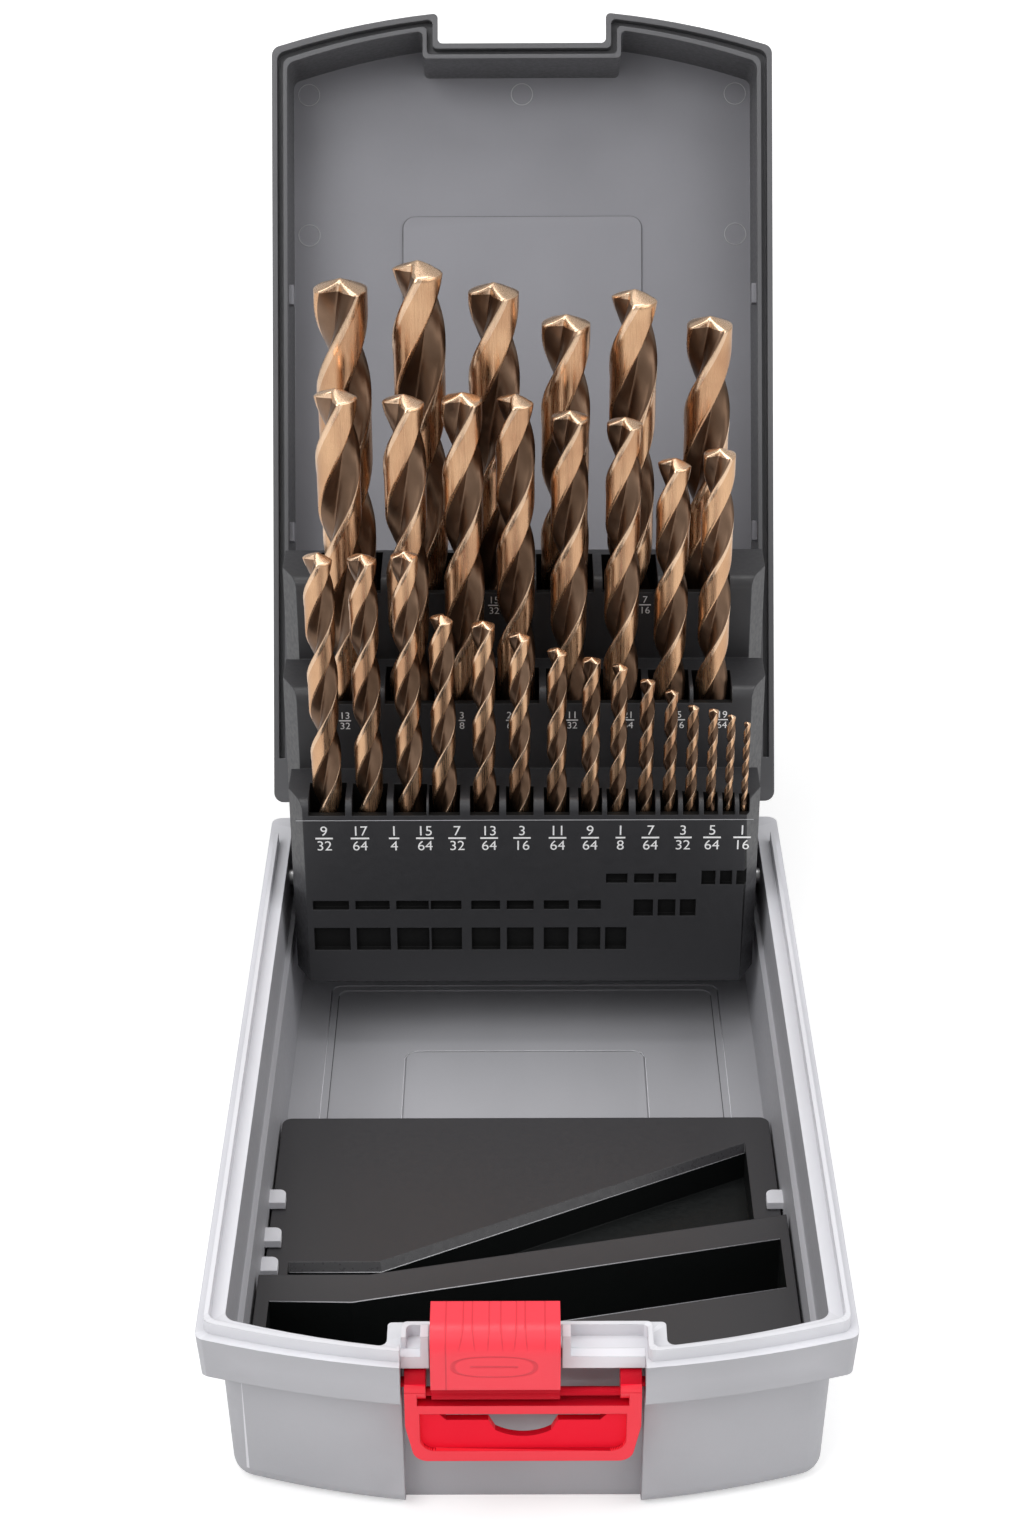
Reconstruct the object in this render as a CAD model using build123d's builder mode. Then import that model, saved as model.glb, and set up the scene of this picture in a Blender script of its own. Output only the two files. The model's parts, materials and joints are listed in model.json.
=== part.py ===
from build123d import *
from math import cos, radians, sin, sqrt, tan
import os

# Drill bit case with a hinged lid, a rack that stands up with the lid and a draw latch.
# Millimetres, +X to the right, +Y to the back, +Z up, the ground at Z = 0.
# The lid stands open, the rack stands upright and the latch is down.

os.makedirs("parts", exist_ok=True)

INCH = 25.4

# ---- Case outline ----
case_width = 128.0
case_length = 193.0  # front corners to the back of the rim
front_bulge = 9.9  # how far the bowed front stands out at its middle
corner_radius = 2.5
notch_radius = 1.2
notch_width = 43.0  # latch notch in the rim of the lid
notch_depth = 8.8
y_front = -case_length / 2
y_back = case_length / 2
y_bow = y_front - front_bulge

# ---- Base ----
rim_height = 42.0
floor_thickness = 2.4
base_wall = 1.9
base_draft = 2.0
inner_draft = 1.0
bottom_radius = 4.5
flange_step = 3.5  # how far the body stands in from the flange
flange_drop = 9.9
flange_draft = 4.0
back_step = 0.7  # the same step at the back
back_wall = 1.5
shelf_depth = 14.5  # step in the side walls, below the rim
shelf_width = 1.2
lip_inset = 1.6
lip_width = 1.0
lip_height = 2.75
lip_end = 12.0  # the lip stops this far before the back
panel_size = (98.2, 73.0)  # sunk panel in the floor, under the rack
panel_set_back = 14.6  # from the back wall
panel_radius = 2.5
panel_step = 1.8  # the panel goes down in two steps, the second this far in
panel_depth = 0.3  # of each step
outline_size = (59.2, 43.0)  # groove drawn on the panel
outline_set_back = 42.2
outline_groove = 0.4
outline_radius = 3.0

# ---- Latch recess in the front of the base ----
latch_x = -0.8  # the latch stands a little left of the middle
recess_width = 46.8
recess_depth = 10.5  # from the bow to the face of the recess
ledge_thickness = 2.9
ledge_setback = 4.5
slot_depth = 2.4  # of the hook's slot in the ledge
guide_height = 5.0
guide_width = 1.6

# ---- Clips on the side walls of the base, over the rear tray ----
clip_length = 4.6
clip_width = 3.0
clip_height = 1.8
clip_gap = 0.3  # above the tray it holds down
clip_radius = 1.6
tray_clips = ((-1, -20.0), (-1, -33.0), (-1, -42.7), (1, -20.5))  # side, place along the case

# ---- Lid ----
lid_gap = 0.2  # between the two rims
lid_depth = 21.5
lid_panel = 2.2
lid_wall = 3.9
lid_back_wall = 2.0
lid_draft = 2.0  # outside
lid_inner_draft = 0.5
lid_edge_radius = 2.0
groove_inset = 1.35
groove_width = 1.5
groove_depth = 2.9
catch_height = 6.6  # height of the rim that the hook takes hold of
catch_step = 2.2
catch_inset = 2.0  # this step ends short of the sides of the notch
lid_open = 120.0
lid_pad_width = 62.6
lid_pad_length = 112.0
lid_pad_height = 0.6
lid_pad_radius = 3.0
clip_size = (1.2, 5.0, 3.5)
clip_reach = (72.7, 133.7)  # from the hinge

# ---- Lid hinge ----
hinge_offset = 3.2  # axis behind the rim
hinge_drop = 1.0  # axis below the base rim
knuckle_radius = 2.8
base_knuckle_width = 12.0
lid_knuckle_width = 8.0
knuckle_gap = 0.3
hinge_inset = 24.0  # middle of each hinge from the side of the case
hinge_pin_radius = 1.25
running_clearance = 0.06
press_clearance = 0.02
hinge_x = case_width / 2 - hinge_inset
y_hinge = y_back + hinge_offset
z_hinge = rim_height - hinge_drop

# ---- Rack ----
pivot_inset = 18.4  # rack pivot in front of the back of the rim
pivot_drop = 6.0
pivot_pin_radius = 2.0
pivot_pin_depth = 6.5  # into the side of the rack
pivot_cover = 0.4  # wall left over the end of its pin
tier_depth = 16.0
back_tier_depth = 16.2
tier_rise = 21.3
first_tread = 29.8  # above the rim
rack_gap = (8.0, 6.5, 6.2)  # each tier in from the side of the case
rack_bottom = (-21.0, -14.0, 2.3)  # underside of each tier, from the rim
rack_set_back = 42.5  # front of the rack, in front of the back of the rim
flare_width = 3.6
flare_depth = 7.0
tread_radius = 2.6
socket_side_gap = 0.35  # beside the bit, and a share of its width more
socket_side_share = 0.06
socket_front_wall = 1.7
socket_back_gap = 0.6
notch_reach = 3.6  # how far the socket cuts down the front of its tier
trough_wall = 1.6
windows = (  # largest and smallest bit behind them, middle from the rim, height
    (18, 10, -8.6, 6.4),
    (18, 11, 1.1, 2.5),
    (9, 7, 0.2, 4.7),
    (10, 8, 8.6, 2.6),
    (6, 4, 8.7, 3.9),
)
window_depth = 1.3

# ---- Trays ----
tray_wall = 2.0
tray_clearance = 0.4
tray_floor = 1.2
rear_tray_height = 9.9  # above the floor
front_tray_height = 17.8
tray_bevel = 1.6
slot_side = 2.0  # wall between a slot and the side of its tray
slot_left_side = 2.8  # the same at the left end
tray_corner = 2.2
tray_gap = 0.6  # between the two trays
bend_left = 43.5  # back of the front tray from the front corners: left of the bend, at its right end
bend_right = 62.7
bend_x = -32.9
rear_edge = 107.2
wedge_edge = 55.2  # far edge of the space in the rear tray: left of its bend, at its right end
wedge_far = 96.0
wedge_x = -31.3
wedge_sides = (5.0, 6.1)  # wall between this space and the left and the right side of the tray
slot_far = (35.2, 34.8, 54.6)  # far edge of the slot: at its left end, its bend and its right end
slot_near = (21.3, 39.0)  # near edge: left of its bend, and at its right end
slot_bend = (-36.2, -28.0)  # where the far and the near edge bend

# ---- Latch ----
lever_axis_depth = 4.9  # behind the bow
lever_axis_drop = 6.6  # below the rim
barrel_radius = 3.2
stub_radius = 1.0
stub_length = 1.8
lever_width = 45.4
lever_height = 17.5  # from the axis down
lever_face = 1.6  # front of the lever behind the bow
lever_plate = 2.4
lever_taper = (1.8, 9.0)  # how far each side leans in, over this height at the foot
arm_width = 4.1
arm_neck = 1.7  # the arm is this much narrower under its barrel
neck_drop = 0.4
lever_corner = 3.0
crossbar_drop = 3.2  # top of the crossbar below the lever's axis
crossbar_height = 2.1
crossbar_depth = 5.4
pocket_inset = 2.8  # sunk face of the lever, in from its sides
pocket_rim = 2.6  # and up from its foot
pocket_depth = 1.0
finger_top = 33.8  # widths of the finger opening
finger_shoulder = 29.6
finger_notch = 13.4
finger_round = 10.8
shoulder_drop = 2.4  # heights of the finger opening
round_drop = 5.0
finger_drop = 6.6
hook_axis_depth = 3.2
hook_axis_drop = 7.6
hook_pin_radius = 0.8
hook_eye_radius = 1.5
hook_web = 2.6
hook_heel = 2.8  # the web runs this far up from its pin before it turns forward
hook_width = 24.6
hook_centre = -6.0
hook_plate = 2.6
hook_face = -1.3
hook_foot = 3.0  # bottom of its plate below the rim
hook_clearance = 0.4
hook_reach = 10.4  # tip behind the bow
hook_bend = 4.6


# Drill bits: size in 64ths of an inch, place across a case of the width these are given for,
# height of its seat from the rim, length. They stand in three rows.
bits_case_width = 128.0
front_bits = (
    (18, -46.6, -15.8, 108.0),
    (17, -36.6, -12.8, 104.8),
    (16, -27.0, -8.8, 101.6),
    (15, -18.9, -19.4, 96.2),
    (14, -9.4, -19.4, 94.7),
    (13, -1.1, -19.4, 91.7),
    (12, 7.6, -19.4, 87.9),
    (11, 15.5, -16.3, 82.5),
    (10, 22.0, -14.9, 79.4),
    (9, 28.5, -12.3, 73.0),
    (8, 34.1, -11.9, 69.8),
    (7, 39.2, -12.7, 66.7),
    (6, 43.9, -4.1, 57.2),
    (5, 48.1, 0.8, 50.8),
    (4, 51.8, 2.2, 47.6),
)
middle_bits = (
    (26, -42.3, -8.7, 133.4),
    (25, -27.1, -6.9, 130.2),
    (24, -13.9, -3.2, 127.0),
    (23, -1.9, -0.4, 123.8),
    (22, 10.5, -1.2, 120.7),
    (21, 22.9, 0.4, 117.5),
    (20, 34.4, -6.4, 114.3),
    (19, 44.6, -0.7, 111.1),
)
back_bits = (
    (32, -41.5, 3.9, 140.5),
    (31, -23.9, 3.9, 144.7),
    (30, -6.7, 3.9, 139.5),
    (29, 9.8, 3.9, 131.9),
    (28, 25.3, 3.9, 137.9),
    (27, 42.6, 3.9, 131.5),
)
bit_rows = (front_bits, middle_bits, back_bits)
point_angle = 135.0


def bow_y(x, inset):
    """How far forward the bowed front lies at x, pulled in by inset."""
    half = case_width / 2 - inset
    radius = (half**2 + front_bulge**2) / (2 * front_bulge)
    return y_bow + inset + radius - sqrt(radius**2 - x**2)


def case_outline(inset, back_inset, radius, notched=False):
    """Plan of the case pulled in by inset, with its bowed front and its latch notch."""
    half = case_width / 2 - inset
    front = y_front + inset
    back = y_back - back_inset
    notch_half = notch_width / 2 + inset
    notch_y = y_bow + notch_depth + inset
    middle_x = (half + notch_half) / 2
    with BuildSketch() as outline:
        with BuildLine():
            if notched:
                edge = bow_y(notch_half, inset)
                middle = bow_y(middle_x, inset)
                ThreePointArc((-half, front), (-middle_x, middle), (-notch_half, edge))
                Polyline((-notch_half, edge), (-notch_half, notch_y),
                         (notch_half, notch_y), (notch_half, edge))
                ThreePointArc((notch_half, edge), (middle_x, middle), (half, front))
            else:
                ThreePointArc((-half, front), (0, y_bow + inset), (half, front))
            Polyline((half, front), (half, back), (-half, back), (-half, front))
        make_face()
        fillet(outline.vertices().filter_by(lambda v: abs(v.X) > half - radius), radius)
        if notched:
            fillet(outline.vertices().filter_by(lambda v: abs(v.X) < notch_half + radius),
                   notch_radius)
    return outline.sketch_local


def block(x, y, z, mode=Mode.ADD):
    """A box between two corners, each axis given as (low, high)."""
    centre = [(low + high) / 2 for low, high in (x, y, z)]
    with Locations(tuple(centre)):
        return Box(x[1] - x[0], y[1] - y[0], z[1] - z[0], mode=mode)


def lid_plane(height):
    """The plane that lies level at this height when the lid is shut, carried open with it."""
    turn = radians(-lid_open)
    y = -y_hinge
    z = height - z_hinge
    origin = (0, y_hinge + y * cos(turn) - z * sin(turn), z_hinge + y * sin(turn) + z * cos(turn))
    return Plane(origin=origin, x_dir=(1, 0, 0), z_dir=(0, -sin(turn), cos(turn)))


def knuckle_places(width):
    """Centres across the case of the knuckles of this width beside each base knuckle."""
    step = (base_knuckle_width + width) / 2 + knuckle_gap
    return [side * hinge_x + end * step for side in (-1, 1) for end in (-1, 1)]


def along_x(x, y, z, radius, length, mode=Mode.ADD):
    """A cylinder that lies across the case."""
    with Locations((x, y, z)):
        return Cylinder(radius, length, rotation=(0, 90, 0), mode=mode)


# ---- Base tray: floor, drafted walls, flange, lip, latch recess and hinge knuckles ----

y_pivot = y_back - pivot_inset
z_pivot = rim_height - pivot_drop
y_recess = y_bow + recess_depth
y_lever = y_bow + lever_axis_depth
z_lever = rim_height - lever_axis_drop
pivot_outer = case_width / 2 - flange_step - pivot_cover
half_recess = recess_width / 2
y_slot = y_bow + ledge_setback + slot_depth
slot_half = hook_width / 2 + hook_clearance
foot_inset = flange_step + rim_height * tan(radians(base_draft))
foot_back_inset = back_step + rim_height * tan(radians(base_draft))
shelf_z = rim_height - shelf_depth
upper_inset = flange_step + base_wall + shelf_depth * tan(radians(inner_draft))
upper_back = back_step + back_wall + shelf_depth * tan(radians(inner_draft))
lower_inset = upper_inset + shelf_width + (shelf_z - floor_thickness) * tan(radians(inner_draft))
lower_back = upper_back + (shelf_z - floor_thickness) * tan(radians(inner_draft))
half_tray = case_width / 2 - lower_inset - tray_clearance
y_inner = y_front + lower_inset + tray_clearance

with BuildPart() as base_tray:
    with BuildSketch():
        add(case_outline(foot_inset, foot_back_inset, corner_radius * 2))
    extrude(amount=rim_height, taper=-base_draft)
    fillet(base_tray.faces().sort_by(Axis.Z)[0].edges(), bottom_radius)
    with BuildSketch(Plane.XY.offset(rim_height)):
        add(case_outline(0, 0, corner_radius))
    extrude(amount=-flange_drop, taper=flange_draft)
    with BuildSketch(Plane.XY.offset(rim_height)):
        add(case_outline(lip_inset, lip_inset, corner_radius, notched=True))
        add(case_outline(lip_inset + lip_width, lip_inset + lip_width, corner_radius,
                         notched=True), mode=Mode.SUBTRACT)
        with Locations((0, y_back)):
            Rectangle(case_width, 2 * lip_end, mode=Mode.SUBTRACT)
    extrude(amount=lip_height)
    with BuildSketch(Plane.XY.offset(floor_thickness)):
        add(case_outline(lower_inset, lower_back, corner_radius, notched=True))
    extrude(amount=rim_height, taper=-inner_draft, mode=Mode.SUBTRACT)
    with BuildSketch(Plane.XY.offset(shelf_z)):
        add(case_outline(upper_inset, upper_back, corner_radius, notched=True))
    extrude(amount=rim_height - shelf_z, taper=-inner_draft, mode=Mode.SUBTRACT)
    # The latch recess, and the ledge that stands back above it.
    recess_x = (latch_x - half_recess, latch_x + half_recess)
    block(recess_x, (y_bow - flange_step, y_recess),
          (-floor_thickness, rim_height - ledge_thickness), mode=Mode.SUBTRACT)
    block(recess_x, (y_bow - flange_step, y_bow + ledge_setback),
          (rim_height - ledge_thickness, rim_height + ledge_thickness), mode=Mode.SUBTRACT)
    # The front of the ledge: the hook moves here, between the guides.
    block(recess_x, (y_bow - flange_step, y_slot),
          (rim_height - 2 * ledge_thickness, rim_height + ledge_thickness), mode=Mode.SUBTRACT)
    # Bearings for the stubs of the lever.
    along_x(latch_x, y_lever, z_lever, stub_radius + running_clearance,
            lever_width + 2 * (stub_length + hook_clearance), mode=Mode.SUBTRACT)
    # Knuckles for the lid, and the bores of the rack pivot.
    for side in (-1, 1):
        x = side * hinge_x
        block((x - base_knuckle_width / 2, x + base_knuckle_width / 2),
              (y_back - back_step - back_wall / 2, y_hinge), (z_hinge - knuckle_radius, z_hinge))
        along_x(x, y_hinge, z_hinge, knuckle_radius, base_knuckle_width)
        along_x(x, y_hinge, z_hinge, hinge_pin_radius + press_clearance,
                base_knuckle_width, mode=Mode.SUBTRACT)
        along_x(side * (pivot_outer - base_wall), y_pivot, z_pivot,
                pivot_pin_radius + press_clearance, 2 * base_wall, mode=Mode.SUBTRACT)
    # Clips over the edges of the rear tray.
    z_clip = floor_thickness + rear_tray_height + clip_gap
    for side, y in tray_clips:
        clip_end = side * (half_tray - clip_width)
        low, high = sorted((clip_end, side * (half_tray + base_wall)))
        block((low, high), (y - clip_length / 2, y + clip_length / 2),
              (z_clip, z_clip + clip_height))
        clip_corner = (clip_end, y + clip_length / 2, z_clip + clip_height / 2)
        fillet(base_tray.edges().filter_by(Axis.Z).sort_by_distance(clip_corner)[0], clip_radius)
    # Sunk panel in the floor.
    y_panel = y_back - lower_back - panel_set_back - panel_size[1] / 2
    for step in (0, 1):
        with BuildSketch(Plane.XY.offset(floor_thickness - step * panel_depth)):
            with Locations((0, y_panel)):
                RectangleRounded(panel_size[0] - 2 * step * panel_step,
                                 panel_size[1] - 2 * step * panel_step, panel_radius)
        extrude(amount=-panel_depth, mode=Mode.SUBTRACT)
    with BuildSketch(Plane.XY.offset(floor_thickness - 2 * panel_depth)):
        with Locations((0, y_back - lower_back - outline_set_back - outline_size[1] / 2)):
            RectangleRounded(*outline_size, outline_radius)
            RectangleRounded(outline_size[0] - 2 * outline_groove,
                             outline_size[1] - 2 * outline_groove,
                             outline_radius - outline_groove, mode=Mode.SUBTRACT)
    extrude(amount=-outline_groove, mode=Mode.SUBTRACT)
base_tray.part.label = "base_tray"
export_step(base_tray.part, "parts/base_tray.step")

# ---- Guides: the front of the ledge beside the hook, with a cheek that stands up on it ----

for side, name in ((-1, "left"), (1, "right")):
    low, high = sorted(hook_centre + side * (slot_half + reach) for reach in (0, guide_width))
    ledge_x = sorted((hook_centre + side * slot_half, latch_x + side * half_recess))
    with BuildPart() as latch_guide:
        block((low, high), (y_bow + ledge_setback, y_bow + notch_depth - 2 * hook_clearance),
              (rim_height, rim_height + guide_height))
        block(ledge_x, (y_bow + ledge_setback, y_slot), (rim_height - ledge_thickness, rim_height))
    latch_guide.part.label = f"latch_guide_{name}"
    export_step(latch_guide.part, f"parts/latch_guide_{name}.step")

# ---- Lid: drawn as if shut, on planes that are turned open about the hinge ----

lid_rim = rim_height + lid_gap
y_notch = y_bow + notch_depth
half_notch = notch_width / 2
lid_zero = lid_plane(0)

with BuildPart(lid_zero) as lid:
    with BuildSketch(lid_plane(lid_rim)):
        add(case_outline(0, 0, corner_radius, notched=True))
    extrude(amount=lid_depth, taper=lid_draft)
    panel = lid.faces().sort_by_distance(lid_plane(lid_rim + lid_depth).origin)[0]
    fillet(panel.edges(), lid_edge_radius)
    with BuildSketch(lid_plane(lid_rim)):
        add(case_outline(lid_wall, lid_back_wall, corner_radius, notched=True))
    extrude(amount=lid_depth - lid_panel, taper=lid_inner_draft, mode=Mode.SUBTRACT)
    # Groove for the lip of the base.
    with BuildSketch(lid_plane(lid_rim)):
        add(case_outline(groove_inset, groove_inset, corner_radius, notched=True))
        add(case_outline(groove_inset + groove_width, groove_inset + groove_width, corner_radius,
                         notched=True), mode=Mode.SUBTRACT)
        with Locations((0, y_back)):
            Rectangle(case_width, 2 * lip_end - groove_width, mode=Mode.SUBTRACT)
    extrude(amount=groove_depth, mode=Mode.SUBTRACT)
    # The wall of the notch stands back above its rim, which the hook takes hold of.
    block((-half_notch + catch_inset, half_notch - catch_inset), (y_bow, y_notch + catch_step),
          (lid_rim + catch_height, lid_rim + 2 * lid_depth), mode=Mode.SUBTRACT)
    # Raised pad inside, clips on the side walls.
    with BuildSketch(lid_plane(lid_rim + lid_depth - lid_panel - lid_pad_height)):
        with Locations((0, y_hinge - clip_reach[0] - lid_pad_length / 4)):
            RectangleRounded(lid_pad_width, lid_pad_length, lid_pad_radius)
    extrude(amount=lid_pad_height + lid_panel / 2)
    clip_x = case_width / 2 - lid_wall
    for side in (-1, 1):
        for reach in clip_reach:
            y = y_hinge - reach
            low, high = sorted((side * (clip_x - clip_size[0]), side * (clip_x + clip_size[0] / 2)))
            block((low, high), (y - clip_size[1] / 2, y + clip_size[1] / 2),
                  (lid_rim + groove_depth, lid_rim + groove_depth + clip_size[2]))
    for x in knuckle_places(lid_knuckle_width):
        block((x - lid_knuckle_width / 2, x + lid_knuckle_width / 2),
              (y_back - lid_back_wall / 2, y_hinge), (lid_rim + lid_gap, z_hinge + knuckle_radius))
        along_x(x, y_hinge, z_hinge, knuckle_radius, lid_knuckle_width)
        along_x(x, y_hinge, z_hinge, hinge_pin_radius + running_clearance,
                lid_knuckle_width, mode=Mode.SUBTRACT)
lid.part.label = "lid"
export_step(lid.part, "parts/lid.step")

# ---- Hinge pins and rack pivots ----

pin_length = base_knuckle_width + 2 * (lid_knuckle_width + knuckle_gap)
for side, name in ((-1, "left"), (1, "right")):
    with BuildPart() as hinge_pin:
        along_x(side * hinge_x, y_hinge, z_hinge, hinge_pin_radius, pin_length)
    hinge_pin.part.label = f"hinge_pin_{name}"
    export_step(hinge_pin.part, f"parts/hinge_pin_{name}.step")

rack_halves = [case_width / 2 - gap for gap in rack_gap]
rack_side = rack_halves[1]
pivot_inner = rack_side - pivot_pin_depth
for side, name in ((-1, "left"), (1, "right")):
    with BuildPart() as rack_pivot:
        along_x(side * (pivot_outer + pivot_inner) / 2, y_pivot, z_pivot, pivot_pin_radius,
                pivot_outer - pivot_inner)
    rack_pivot.part.label = f"rack_pivot_{name}"
    export_step(rack_pivot.part, f"parts/rack_pivot_{name}.step")

# ---- Rack: three stepped tiers with an open-fronted socket for each bit ----

y_rack = y_back - rack_set_back
tier_depths = (tier_depth, tier_depth, back_tier_depth)


def bit_radius(size):
    return size * INCH / 64 / 2


def socket_half(size):
    """Half the width of the socket for a bit of this size."""
    return bit_radius(size) * (1 + 2 * socket_side_share) + socket_side_gap


def bit_axis_x(place):
    """Place of a bit across the case; the bits stand further apart in a wider case."""
    return place * case_width / bits_case_width


def bit_axis_y(row, size):
    """How far back the axis of a bit stands: its socket is just behind its tier's front wall."""
    return y_rack + row * tier_depth + socket_front_wall + bit_radius(size)


with BuildPart() as rack:
    for row in range(3):
        y0 = y_rack + row * tier_depth
        y1 = y0 + tier_depths[row]
        bottom = rim_height + rack_bottom[row]
        half = rack_halves[row]
        with BuildSketch(Plane.XY.offset(bottom)):
            with BuildLine():
                Polyline((half - flare_width, y0), (half, y0 + flare_depth), (half, y1),
                         (-half, y1), (-half, y0 + flare_depth), (flare_width - half, y0), close=True)
            make_face()
        extrude(amount=first_tread + row * tier_rise - rack_bottom[row])
    for row in range(3):
        tread = rim_height + first_tread + row * tier_rise
        edge = rack.edges().filter_by(Axis.X).sort_by_distance((0, y_rack + row * tier_depth, tread))[0]
        fillet(edge, tread_radius)
    for row, bits in enumerate(bit_rows):
        y0 = y_rack + row * tier_depth
        tread = rim_height + first_tread + row * tier_rise
        # Each bit stands in a square socket that is open at the front under the tread.
        for size, place, seat, length in bits:
            x = bit_axis_x(place)
            radius = bit_radius(size)
            half = socket_half(size)
            y_end = y0 + socket_front_wall + 2 * radius + socket_back_gap
            block((x - half, x + half), (y0 + socket_front_wall - running_clearance, y_end),
                  (rim_height + seat, tread + tread_radius), mode=Mode.SUBTRACT)
            block((x - half, x + half), (y0 - tread_radius, y0 + socket_front_wall),
                  (tread - notch_reach, tread + tread_radius), mode=Mode.SUBTRACT)
    # A trough from below, behind the shallow sockets of the front tier.
    half = rack_halves[0] - pivot_pin_depth - trough_wall
    deepest = y_rack + socket_front_wall + 2 * bit_radius(front_bits[0][0]) + socket_back_gap
    block((-half, half), (deepest + trough_wall, y_rack + tier_depth - trough_wall / 2),
          (rim_height + rack_bottom[0] - trough_wall, rim_height + first_tread - trough_wall),
          mode=Mode.SUBTRACT)
    # Windows low in the front, one to each socket.
    for largest, smallest, middle, height in windows:
        level = rim_height + middle
        for size, place, seat, length in front_bits:
            if smallest <= size <= largest:
                x = bit_axis_x(place)
                half = socket_half(size)
                block((x - half, x + half), (y_rack - tread_radius, y_rack + window_depth),
                      (level - height / 2, level + height / 2), mode=Mode.SUBTRACT)
    for side in (-1, 1):
        along_x(side * rack_side, y_pivot, z_pivot, pivot_pin_radius + running_clearance,
                2 * (pivot_pin_depth + hook_clearance), mode=Mode.SUBTRACT)
rack.part.label = "rack"
export_step(rack.part, "parts/rack.step")

# ---- Drill bits ----

for row, bits in enumerate(bit_rows):
    for size, place, seat, length in bits:
        x = bit_axis_x(place)
        radius = bit_radius(size)
        cone = radius / tan(radians(point_angle / 2))
        with BuildPart() as drill_bit:
            with BuildSketch(Plane((x, bit_axis_y(row, size), 0), x_dir=(1, 0, 0),
                                   z_dir=(0, -1, 0))):
                with BuildLine():
                    foot = rim_height + seat
                    Polyline((0, foot), (radius, foot), (radius, foot + length - cone),
                             (0, foot + length), close=True)
                make_face()
            revolve(axis=Axis((x, bit_axis_y(row, size), 0), (0, 0, 1)))
        name = f"bit_{round(size):02d}_64"
        drill_bit.part.label = name
        export_step(drill_bit.part, f"parts/{name}.step")

# ---- Trays: shells with a closed floor under the space for the bits that lie over them ----

half_space = half_tray - slot_side
y_bend = y_front + bend_left  # back of the front tray, left of its bend
y_right = y_front + bend_right
y_rear = y_front + rear_edge


def tray_plan(*points):
    """The closed outline through these points."""
    with BuildSketch() as plan:
        with BuildLine():
            Polyline(*points, close=True)
        make_face()
    return plan.sketch_local


def tray(outline, space, height):
    """A tray that stands on the floor, hollow from below, with a space that is open above."""
    with BuildSketch(Plane.XY.offset(floor_thickness)) as outside:
        add(outline)
    extrude(outside.sketch, amount=height)
    with BuildSketch() as walled:
        add(space)
        offset(amount=tray_wall, kind=Kind.INTERSECTION, mode=Mode.REPLACE)
    with BuildSketch(Plane.XY.offset(floor_thickness)) as inside:
        add(outline)
        offset(amount=-tray_wall, kind=Kind.INTERSECTION, mode=Mode.REPLACE)
        add(walled.sketch_local, mode=Mode.SUBTRACT)
    extrude(inside.sketch, amount=height - tray_wall, mode=Mode.SUBTRACT)
    with BuildSketch(Plane.XY.offset(floor_thickness + tray_floor)) as opening:
        add(space)
    extrude(opening.sketch, amount=height, mode=Mode.SUBTRACT)


slot_left = slot_left_side - half_tray
slot_plan = tray_plan((slot_left, y_front + slot_far[0]), (slot_bend[0], y_front + slot_far[1]),
                      (half_space, y_front + slot_far[2]), (half_space, y_front + slot_near[1]),
                      (slot_bend[1], y_front + slot_near[0]), (slot_left, y_front + slot_near[0]))
front_plan = tray_plan((-half_tray, y_bend), (bend_x, y_bend), (half_tray, y_right),
                       (half_tray, y_inner), (-half_tray, y_inner))
with BuildPart() as front_tray:
    tray(front_plan, slot_plan, front_tray_height)
    fillet(front_tray.edges().filter_by(Axis.Z).group_by(Axis.Y)[0], tray_corner)
front_tray.part.label = "front_tray"
export_step(front_tray.part, "parts/front_tray.step")

y_wedge = y_front + wedge_edge
y_far = y_front + wedge_far
wedge_left = wedge_sides[0] - half_tray
wedge_right = half_tray - wedge_sides[1]
wedge = tray_plan((wedge_left, y_bend), (wedge_left, y_wedge), (wedge_x, y_wedge),
                  (wedge_right, y_far), (wedge_right, y_bend))
rear_plan = tray_plan((-half_tray, y_rear), (half_tray, y_rear), (half_tray, y_right + tray_gap),
                      (bend_x, y_bend + tray_gap), (-half_tray, y_bend + tray_gap))
with BuildPart() as rear_tray:
    tray(rear_plan, wedge, rear_tray_height)
    fillet(rear_tray.edges().filter_by(Axis.Z).group_by(Axis.Y)[-1], tray_corner)
    # The far edges of the space are bevelled.
    z_top = floor_thickness + rear_tray_height
    edge_middles = (((wedge_left + wedge_x) / 2, y_wedge, z_top),
                    ((wedge_x + wedge_right) / 2, (y_wedge + y_far) / 2, z_top))
    far_edges = [rear_tray.edges().sort_by_distance(middle)[0] for middle in edge_middles]
    chamfer(far_edges, tray_bevel)
rear_tray.part.label = "rear_tray"
export_step(rear_tray.part, "parts/rear_tray.step")

# ---- Latch: a lever on the base, and a hook that hangs on a pin across the lever ----

y_face = y_bow + lever_face
y_hook = y_bow + hook_axis_depth
z_hook = rim_height - hook_axis_drop
half_lever = lever_width / 2
half_pocket = half_lever - pocket_inset
lever_foot = z_lever - lever_height
crossbar_top = z_lever - crossbar_drop
opening_top = crossbar_top - crossbar_height
neck_top = z_lever - neck_drop
lever_plane = Plane((latch_x, y_face, 0), x_dir=(1, 0, 0), z_dir=(0, -1, 0))

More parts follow.
